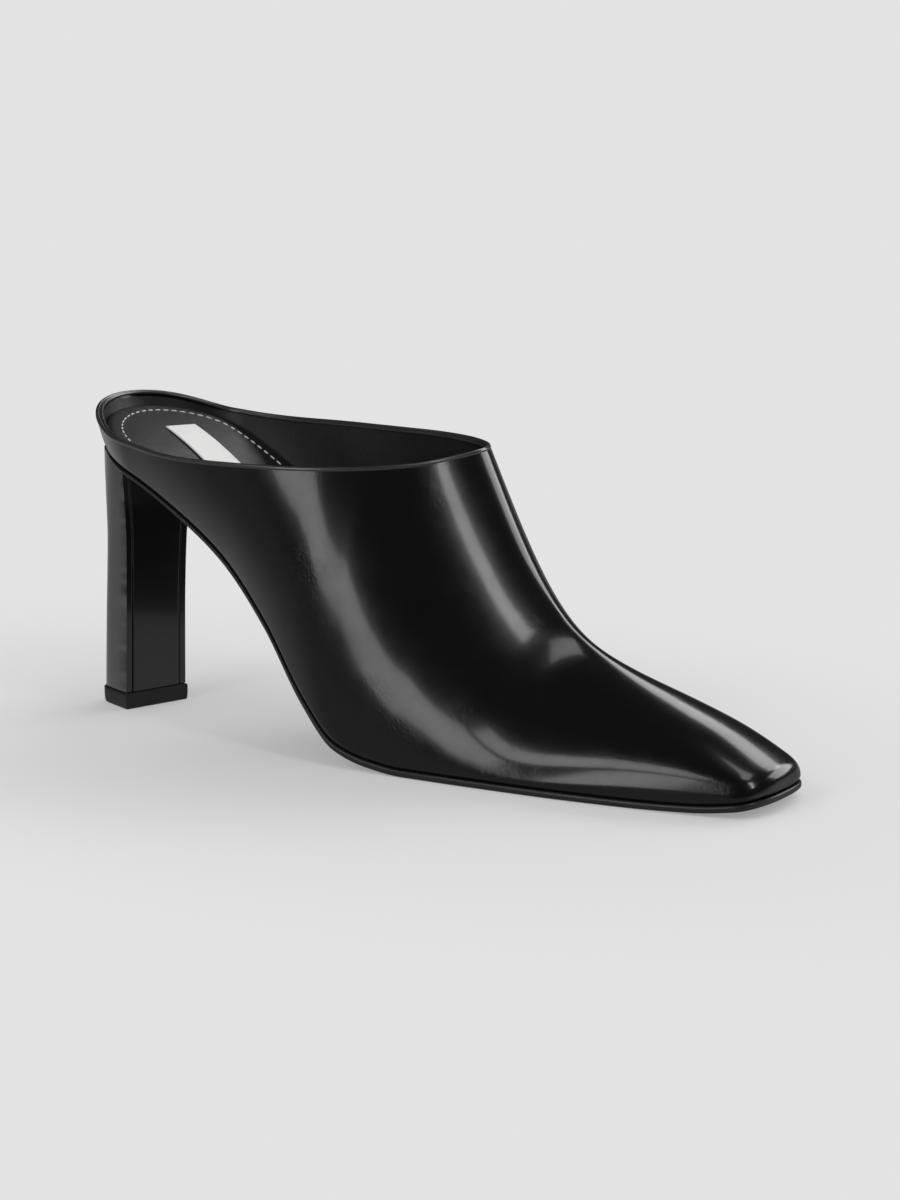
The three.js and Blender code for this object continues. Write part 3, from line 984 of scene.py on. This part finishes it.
# %% The room: pale to the eye and to the floor, dim to the leather
def studio():
    world = bpy.data.worlds.new("studio")
    bpy.context.scene.world = world
    world.use_nodes = True
    tree = world.node_tree
    pale, out = tree.nodes["Background"], tree.nodes["World Output"]
    pale.inputs["Color"].default_value = (FLOOR_LEVEL,) * 3 + (1,)
    room, ambient = tree.nodes.new("ShaderNodeBackground"), tree.nodes.new("ShaderNodeBackground")
    ambient.inputs["Color"].default_value = (AMBIENT,) * 3 + (1,)
    split = tree.nodes.new("ShaderNodeSeparateXYZ")
    coordinates = tree.nodes.new("ShaderNodeTexCoord")
    tree.links.new(coordinates.outputs["Generated"], split.inputs[0])
    ahead, left, above = (Wire(tree, split.outputs[i]) for i in range(3))
    low = 1 - above.between(-0.12, 0.06)
    behind = (ahead * -0.996 + left * -0.087).between(0.6, 0.98)
    before = (ahead * 0.92 + left * 0.39).between(0.55, 0.9)
    level = ROOM + low * (FLOOR_SEEN + behind * GLOW_BEHIND + before * GLOW_BEFORE)
    tree.links.new(level.socket, room.inputs["Strength"])
    path = tree.nodes.new("ShaderNodeLightPath")
    glossy, seen = tree.nodes.new("ShaderNodeMixShader"), tree.nodes.new("ShaderNodeMixShader")
    tree.links.new(path.outputs["Is Glossy Ray"], glossy.inputs[0])
    tree.links.new(ambient.outputs[0], glossy.inputs[1])
    tree.links.new(room.outputs[0], glossy.inputs[2])
    tree.links.new(path.outputs["Is Camera Ray"], seen.inputs[0])
    tree.links.new(glossy.outputs[0], seen.inputs[1])
    tree.links.new(pale.outputs[0], seen.inputs[2])
    tree.links.new(seen.outputs[0], out.inputs["Surface"])


AMBIENT = 0.42
ROOM, FLOOR_SEEN = 0.02, 0.2
GLOW_BEHIND, GLOW_BEFORE = 0.5, 0.3
studio()


# %% Soft boxes
def soft_box(name, around, above, width, height, level):
    """A box of light at a direction from the shoe, in degrees, with a size in metres and a brightness."""
    turn, lift_up = math.radians(around), math.radians(above)
    level_part = math.cos(lift_up)
    towards = Vector((math.cos(turn) * level_part, math.sin(turn) * level_part, math.sin(lift_up)))
    light = bpy.data.lights.new(name, "AREA")
    light.shape, light.size, light.size_y = "RECTANGLE", width, height
    light.energy = level * math.pi * width * height
    box = bpy.data.objects.new(name, light)
    bpy.context.scene.collection.objects.link(box)
    box.location = Vector((0, 0, 0.04)) + towards * BOX_DISTANCE
    box.rotation_euler = towards.to_track_quat("Z", "Y").to_euler()
    box.visible_camera = False


BOX_DISTANCE = 2.0
SOFT_BOXES = [
    # name, around, above, width, height, brightness
    ("left_strip", -99, 18, 0.48, 1.1, 2.9),
    ("left_upper", -112, 43, 1.1, 0.4, 2.9),
    ("right_strip", -12, 43, 0.24, 1.1, 6.0),
    ("back_box", 90, 40, 1.3, 0.6, 3.0),
    ("far_box", 60, 23, 1.4, 0.9, 3.0),
    ("overhead", 28, 76, 0.8, 0.5, 2.2),
]
for row in SOFT_BOXES:
    soft_box(*row)
print("soft boxes:", len(SOFT_BOXES))

# %% The camera
LENS = 71.2
ZOOM = 1.4
CENTRE_ACROSS, CENTRE_DOWN = -52, 14
camera_data = bpy.data.cameras.new("camera")
camera_data.sensor_width, camera_data.sensor_fit = 36, "AUTO"
camera_data.lens = LENS * ZOOM
camera_data.shift_x = CENTRE_ACROSS * ZOOM / 1200
camera_data.shift_y = -CENTRE_DOWN * ZOOM / 1200
camera_data.clip_start, camera_data.clip_end = 0.01, 100
camera = bpy.data.objects.new("camera", camera_data)
bpy.context.scene.collection.objects.link(camera)
camera.location = (0.5578, -0.8051, 0.2709)
VIEW_TURN, VIEW_DOWN = math.radians(33.2), math.radians(12.61)
camera.rotation_euler = (math.pi / 2 - VIEW_DOWN, 0, VIEW_TURN)
bpy.context.scene.camera = camera
bpy.context.scene.view_settings.view_transform = "Standard"
